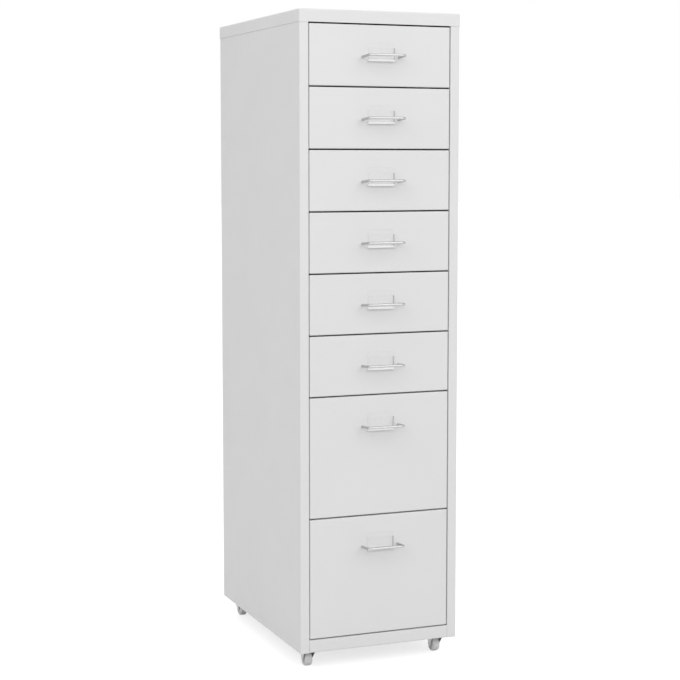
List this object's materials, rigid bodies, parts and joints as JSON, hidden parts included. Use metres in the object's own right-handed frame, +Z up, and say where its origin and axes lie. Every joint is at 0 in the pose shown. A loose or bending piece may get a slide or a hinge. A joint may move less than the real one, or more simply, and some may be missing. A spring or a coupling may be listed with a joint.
{
  "type": "drawer cabinet on casters",
  "caption": "Tall, slim sheet-steel drawer cabinet on small swivel casters: shallow drawers above deep ones, each with a wire bow handle and a clear label holder.",
  "frame": {"origin": "on the floor, under the centre of the whole object's box, handles included", "axes": "+Z up, -Y towards the drawer fronts, +X to the right seen from the front"},
  "size_m": [0.284, 0.4468, 1.0829],
  "materials": {
    "painted_sheet": "fine-textured light grey powder coat",
    "zinc_steel": "bright zinc plate",
    "chrome_wire": "polished chrome plate",
    "clear_plastic": "clear moulded plastic",
    "wheel_plastic": "satin grey nylon"
  },
  "bodies": {
    "cabinet": {"top_cap": "painted_sheet", "side_panel_left": "painted_sheet", "side_panel_right": "painted_sheet", "back_panel": "painted_sheet", "bottom_panel": "painted_sheet", "runners": "zinc_steel", "caster_plates": "zinc_steel", "rivets": "zinc_steel"},
    "drawer_1": {"drawer_front_1": "painted_sheet", "drawer_tray_1": "painted_sheet", "handle_1": "chrome_wire", "handle_nuts_1": "zinc_steel", "label_holder_1": "clear_plastic"},
    "drawer_2": {"drawer_front_2": "painted_sheet", "drawer_tray_2": "painted_sheet", "handle_2": "chrome_wire", "handle_nuts_2": "zinc_steel", "label_holder_2": "clear_plastic"},
    "drawer_3": {"drawer_front_3": "painted_sheet", "drawer_tray_3": "painted_sheet", "handle_3": "chrome_wire", "handle_nuts_3": "zinc_steel", "label_holder_3": "clear_plastic"},
    "drawer_4": {"drawer_front_4": "painted_sheet", "drawer_tray_4": "painted_sheet", "handle_4": "chrome_wire", "handle_nuts_4": "zinc_steel", "label_holder_4": "clear_plastic"},
    "drawer_5": {"drawer_front_5": "painted_sheet", "drawer_tray_5": "painted_sheet", "handle_5": "chrome_wire", "handle_nuts_5": "zinc_steel", "label_holder_5": "clear_plastic"},
    "drawer_6": {"drawer_front_6": "painted_sheet", "drawer_tray_6": "painted_sheet", "handle_6": "chrome_wire", "handle_nuts_6": "zinc_steel", "label_holder_6": "clear_plastic"},
    "drawer_7": {"drawer_front_7": "painted_sheet", "drawer_tray_7": "painted_sheet", "handle_7": "chrome_wire", "handle_nuts_7": "zinc_steel", "label_holder_7": "clear_plastic"},
    "drawer_8": {"drawer_front_8": "painted_sheet", "drawer_tray_8": "painted_sheet", "handle_8": "chrome_wire", "handle_nuts_8": "zinc_steel", "label_holder_8": "clear_plastic"},
    "caster_1": {"caster_fork_1": "zinc_steel", "caster_axle_1": "zinc_steel"},
    "wheel_1": {"caster_wheel_1": "wheel_plastic"},
    "caster_2": {"caster_fork_2": "zinc_steel", "caster_axle_2": "zinc_steel"},
    "wheel_2": {"caster_wheel_2": "wheel_plastic"},
    "caster_3": {"caster_fork_3": "zinc_steel", "caster_axle_3": "zinc_steel"},
    "wheel_3": {"caster_wheel_3": "wheel_plastic"},
    "caster_4": {"caster_fork_4": "zinc_steel", "caster_axle_4": "zinc_steel"},
    "wheel_4": {"caster_wheel_4": "wheel_plastic"}
  },
  "joints": [
    {"name": "drawer_1_slide", "type": "slide", "parent": "cabinet", "child": "drawer_1", "axis": [0, -1, 0], "range_m": [0, 0.3]},
    {"name": "drawer_2_slide", "type": "slide", "parent": "cabinet", "child": "drawer_2", "axis": [0, -1, 0], "range_m": [0, 0.3]},
    {"name": "drawer_3_slide", "type": "slide", "parent": "cabinet", "child": "drawer_3", "axis": [0, -1, 0], "range_m": [0, 0.3]},
    {"name": "drawer_4_slide", "type": "slide", "parent": "cabinet", "child": "drawer_4", "axis": [0, -1, 0], "range_m": [0, 0.3]},
    {"name": "drawer_5_slide", "type": "slide", "parent": "cabinet", "child": "drawer_5", "axis": [0, -1, 0], "range_m": [0, 0.3]},
    {"name": "drawer_6_slide", "type": "slide", "parent": "cabinet", "child": "drawer_6", "axis": [0, -1, 0], "range_m": [0, 0.3]},
    {"name": "drawer_7_slide", "type": "slide", "parent": "cabinet", "child": "drawer_7", "axis": [0, -1, 0], "range_m": [0, 0.3]},
    {"name": "drawer_8_slide", "type": "slide", "parent": "cabinet", "child": "drawer_8", "axis": [0, -1, 0], "range_m": [0, 0.3]},
    {"name": "caster_1_swivel", "type": "hinge", "parent": "cabinet", "child": "caster_1", "pos_m": [-0.117, -0.164, 0.031], "axis": [0, 0, 1], "continuous": true},
    {"name": "wheel_1_spin", "type": "hinge", "parent": "caster_1", "child": "wheel_1", "pos_m": [-0.117, -0.155, 0.012], "axis": [1, 0, 0], "continuous": true},
    {"name": "caster_2_swivel", "type": "hinge", "parent": "cabinet", "child": "caster_2", "pos_m": [0.117, -0.164, 0.031], "axis": [0, 0, 1], "continuous": true},
    {"name": "wheel_2_spin", "type": "hinge", "parent": "caster_2", "child": "wheel_2", "pos_m": [0.117, -0.155, 0.012], "axis": [1, 0, 0], "continuous": true},
    {"name": "caster_3_swivel", "type": "hinge", "parent": "cabinet", "child": "caster_3", "pos_m": [-0.117, 0.195, 0.031], "axis": [0, 0, 1], "continuous": true},
    {"name": "wheel_3_spin", "type": "hinge", "parent": "caster_3", "child": "wheel_3", "pos_m": [-0.117, 0.186, 0.012], "axis": [1, 0, 0], "continuous": true},
    {"name": "caster_4_swivel", "type": "hinge", "parent": "cabinet", "child": "caster_4", "pos_m": [0.117, 0.195, 0.031], "axis": [0, 0, 1], "continuous": true},
    {"name": "wheel_4_spin", "type": "hinge", "parent": "caster_4", "child": "wheel_4", "pos_m": [0.117, 0.186, 0.012], "axis": [1, 0, 0], "continuous": true}
  ]
}
